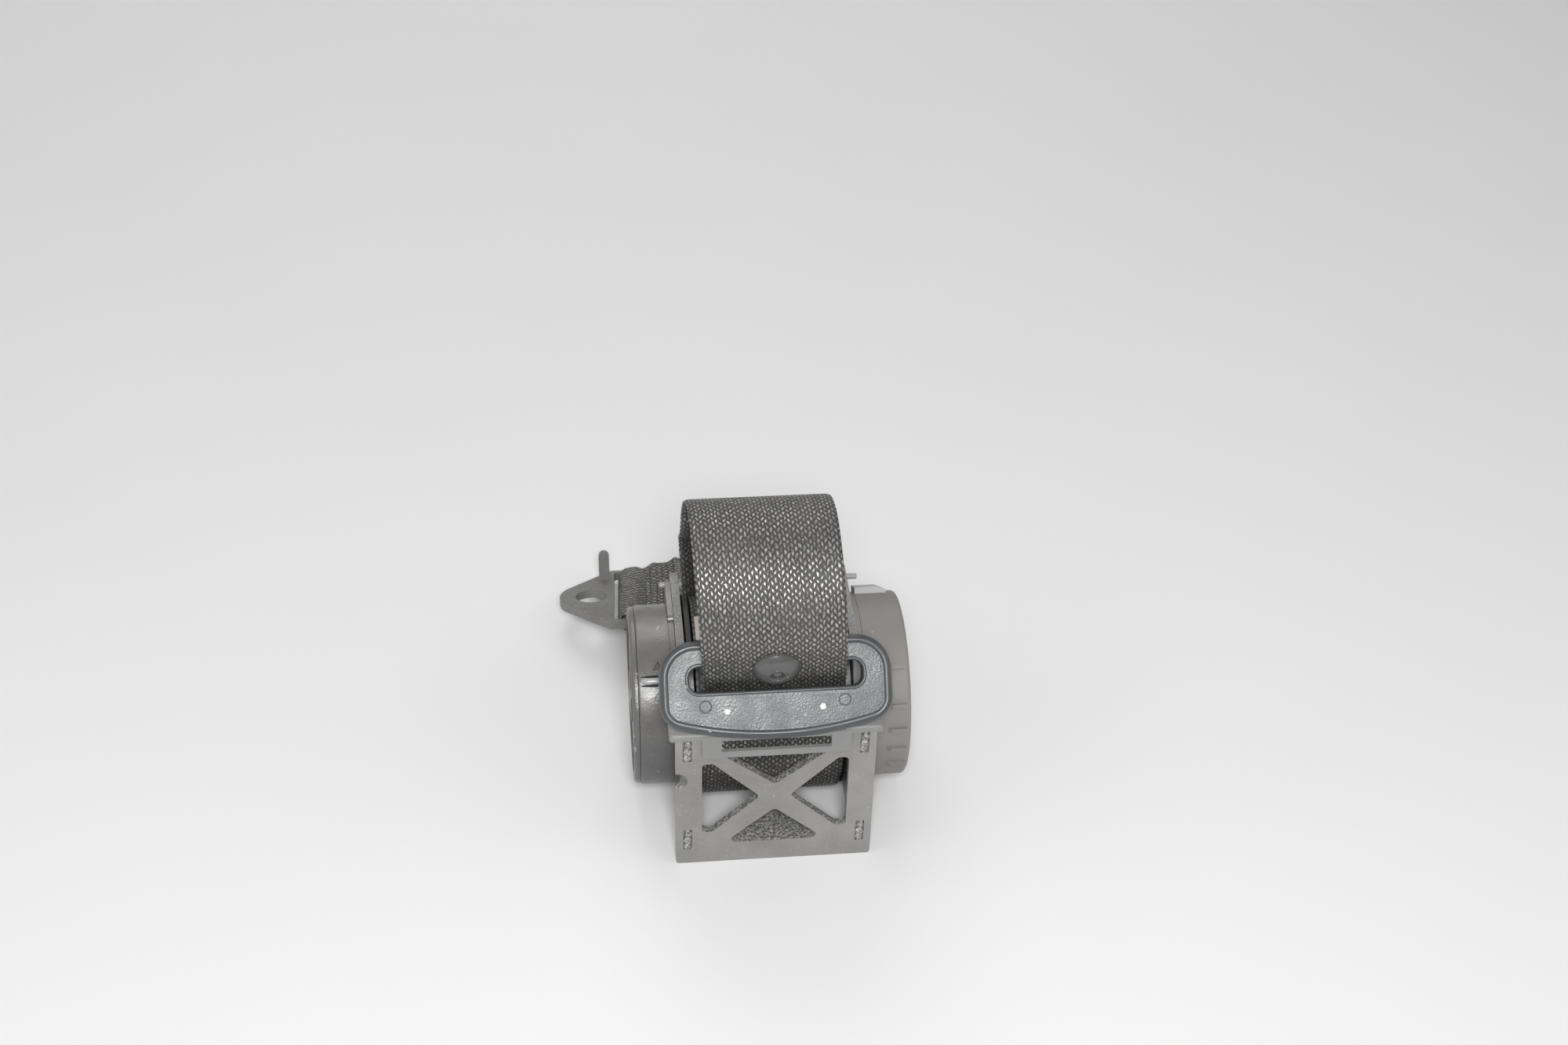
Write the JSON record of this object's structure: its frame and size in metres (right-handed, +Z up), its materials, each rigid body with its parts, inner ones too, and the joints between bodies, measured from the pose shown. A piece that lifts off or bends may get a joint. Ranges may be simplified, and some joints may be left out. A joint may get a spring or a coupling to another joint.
{
  "type": "seat belt",
  "caption": "Inertia-reel seat belt off the car: wound webbing in a folded steel frame, with a looped belt, tongue, stop button and end anchor.",
  "frame": {"origin": "centre of the reel's mounting bolt hole, on the underside of the foot, level with what the reel stands on", "axes": "+X to the right along the spool, +Y away from the braced front plate, +Z up; -Z is the way the mounting bolt's thread points out of the hole"},
  "size_m": [0.1122, 0.1503, 0.1185],
  "materials": {
    "frame_steel": "satin",
    "anchor_steel": "satin",
    "bright_steel": "satin",
    "cast_alloy": "satin",
    "cover_plastic": "matte",
    "inner_plastic": "matte",
    "tongue_plastic": "satin",
    "clip_plastic": "matte",
    "pin_plastic": "satin",
    "webbing": "woven",
    "patch": "woven"
  },
  "bodies": {
    "reel": {"frame": "frame_steel", "front_plate": "frame_steel", "web_guide": "cover_plastic", "guard_pins": "pin_plastic", "left_bush": "inner_plastic", "right_bush": "inner_plastic", "belt": "webbing", "sewn_end": "webbing", "stop_button": "tongue_plastic", "button_rivet": "tongue_plastic", "spring_housing": "inner_plastic", "clock_spring": "bright_steel", "spring_housing_pins": "inner_plastic", "spring_cover": "cover_plastic", "spring_lid": "cover_plastic", "pawl_pin": "bright_steel", "sensor_plate": "inner_plastic", "sensor_plate_pins": "inner_plastic", "sensor_cup": "inner_plastic", "sensor_cover": "cover_plastic", "cover_clip": "clip_plastic"},
    "spool": {"spool": "cast_alloy", "torsion_bar": "bright_steel", "webbing_roll": "webbing", "sewn_patch": "patch", "spring_arbor": "inner_plastic", "lock_wheel": "bright_steel"},
    "inertia_disc": {"inertia_disc": "cast_alloy"},
    "lock_pawl": {"lock_pawl": "bright_steel"},
    "sensor_ball": {"sensor_ball": "bright_steel"},
    "sensor_lever": {"sensor_lever": "inner_plastic"},
    "tongue": {"tongue_plate": "bright_steel", "tongue_grip": "tongue_plastic"},
    "anchor": {"anchor_plate": "anchor_steel"}
  },
  "joints": [
    {"name": "spool_spin", "type": "hinge", "parent": "reel", "child": "spool", "pos_m": [0, -0.049, 0.034], "axis": [1, 0, 0], "continuous": true},
    {"name": "disc_lag", "type": "hinge", "parent": "spool", "child": "inertia_disc", "pos_m": [0.0355, -0.049, 0.034], "axis": [1, 0, 0], "range_deg": [0, 10]},
    {"name": "pawl_swing", "type": "hinge", "parent": "reel", "child": "lock_pawl", "pos_m": [0.03004, -0.05241, 0.00974], "axis": [1, 0, 0], "range_deg": [0, 14.5]},
    {"name": "ball_roll", "type": "slide", "parent": "reel", "child": "sensor_ball", "axis": [0, 0.9397, 0.342], "range_m": [0, 0.0015]},
    {"name": "lever_lift", "type": "hinge", "parent": "reel", "child": "sensor_lever", "pos_m": [0.039, -0.0615, 0.019], "axis": [1, 0, 0], "range_deg": [0, 6]},
    {"name": "tongue_tilt", "type": "hinge", "parent": "reel", "child": "tongue", "pos_m": [0, -0.08648, 0.0729], "axis": [1, 0, 0], "range_deg": [-30, 0]},
    {"name": "anchor_swing", "type": "hinge", "parent": "reel", "child": "anchor", "pos_m": [-0.0415, 0.0271, 0.0104], "axis": [-0.0349, -0.9505, 0.3088], "range_deg": [-70, 0]}
  ],
  "couplings": [
    {"joint": "pawl_swing", "follows": "disc_lag", "ratio": 1.45},
    {"joint": "lever_lift", "follows": "ball_roll", "rad_per_m": 69.8}
  ]
}
